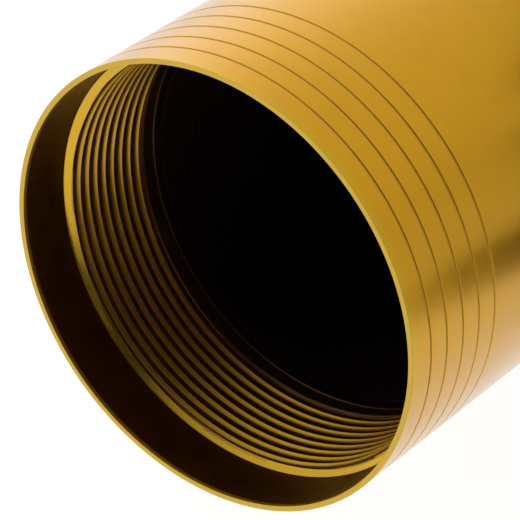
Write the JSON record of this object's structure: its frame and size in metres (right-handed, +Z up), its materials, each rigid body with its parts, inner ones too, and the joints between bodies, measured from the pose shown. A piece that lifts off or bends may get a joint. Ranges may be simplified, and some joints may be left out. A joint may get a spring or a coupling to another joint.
{
  "type": "star diagonal",
  "caption": "Two-inch 90-degree mirror diagonal with a gold nosepiece, black housing, clamping eyepiece holder and a lift-out 1.25-inch adapter.",
  "frame": {"origin": "centre of the nosepiece's shoulder plane, on the optical axis", "axes": "the part lies on its right side, as on a table: +Y along the nosepiece axis into the housing, so the nosepiece's open end faces -Y; +X along the eyepiece axis, out of the eyepiece socket; +Z up, out of the housing's left side. Left, right, upper, lower, bottom and rear in the node names are as seen from the nosepiece end with the eyepiece up, as in use"},
  "size_m": [0.1184, 0.124, 0.064],
  "materials": {
    "gold_anodised": "satin gold anodised, finely turned",
    "black_anodised": "satin black anodised",
    "flat_black": "flat black paint",
    "mirror_coating": "dielectric first-surface coating",
    "brass": "turned",
    "bright_steel": "knurled and polished",
    "black_steel": "blackened steel",
    "nylon": "natural nylon",
    "rubber": "moulded rubber"
  },
  "bodies": {
    "body": {"nosepiece": "gold_anodised", "light_baffle": "flat_black", "nosepiece_grub_screw_left": "black_steel", "nosepiece_grub_screw_right": "black_steel", "nosepiece_grub_screw_bottom": "black_steel", "housing": "black_anodised", "mirror": "mirror_coating", "mirror_pad_upper_left": "nylon", "mirror_pad_upper_right": "nylon", "mirror_pad_lower_left": "nylon", "mirror_pad_lower_right": "nylon", "mirror_gasket": "rubber", "back_plate": "black_anodised", "back_plate_screw_upper_left": "black_steel", "back_plate_screw_upper_right": "black_steel", "back_plate_screw_lower_left": "black_steel", "back_plate_screw_lower_right": "black_steel", "eyepiece_holder": "black_anodised", "holder_grub_screw_left": "black_steel", "holder_grub_screw_right": "black_steel", "holder_grub_screw_rear": "black_steel", "compression_ring_2in": "brass"},
    "adapter": {"adapter_1_25in": "black_anodised", "compression_ring_1_25in": "brass"},
    "clamp_tip_left": {"clamp_tip_left": "nylon"},
    "thumbscrew_left": {"thumbscrew_left": "bright_steel"},
    "clamp_tip_right": {"clamp_tip_right": "nylon"},
    "thumbscrew_right": {"thumbscrew_right": "bright_steel"},
    "clamp_tip_adapter": {"clamp_tip_adapter": "nylon"},
    "thumbscrew_adapter": {"thumbscrew_adapter": "bright_steel"}
  },
  "joints": [
    {"name": "adapter_lift", "type": "slide", "parent": "body", "child": "adapter", "axis": [1, 0, 0], "range_m": [0, 0.026]},
    {"name": "clamp_left_travel", "type": "slide", "parent": "body", "child": "clamp_tip_left", "axis": [0, 0.809, 0.5878], "range_m": [0, 0.00262]},
    {"name": "thumbscrew_left_turn", "type": "hinge", "parent": "clamp_tip_left", "child": "thumbscrew_left", "pos_m": [0.059, 0.039, 0], "axis": [0, 0.809, 0.5878], "range_deg": [0, 1350]},
    {"name": "clamp_right_travel", "type": "slide", "parent": "body", "child": "clamp_tip_right", "axis": [0, 0.809, -0.5878], "range_m": [0, 0.00262]},
    {"name": "thumbscrew_right_turn", "type": "hinge", "parent": "clamp_tip_right", "child": "thumbscrew_right", "pos_m": [0.059, 0.039, 0], "axis": [0, 0.809, -0.5878], "range_deg": [0, 1350]},
    {"name": "clamp_adapter_travel", "type": "slide", "parent": "adapter", "child": "clamp_tip_adapter", "axis": [0, 1, 0], "range_m": [0, 0.00419]},
    {"name": "thumbscrew_adapter_turn", "type": "hinge", "parent": "clamp_tip_adapter", "child": "thumbscrew_adapter", "pos_m": [0.077, 0.039, 0], "axis": [0, 1, 0], "range_deg": [0, 2160]}
  ],
  "couplings": [
    {"joint": "thumbscrew_left_turn", "follows": "clamp_left_travel", "rad_per_m": 8976},
    {"joint": "thumbscrew_right_turn", "follows": "clamp_right_travel", "rad_per_m": 8976},
    {"joint": "thumbscrew_adapter_turn", "follows": "clamp_adapter_travel", "rad_per_m": 8976}
  ]
}
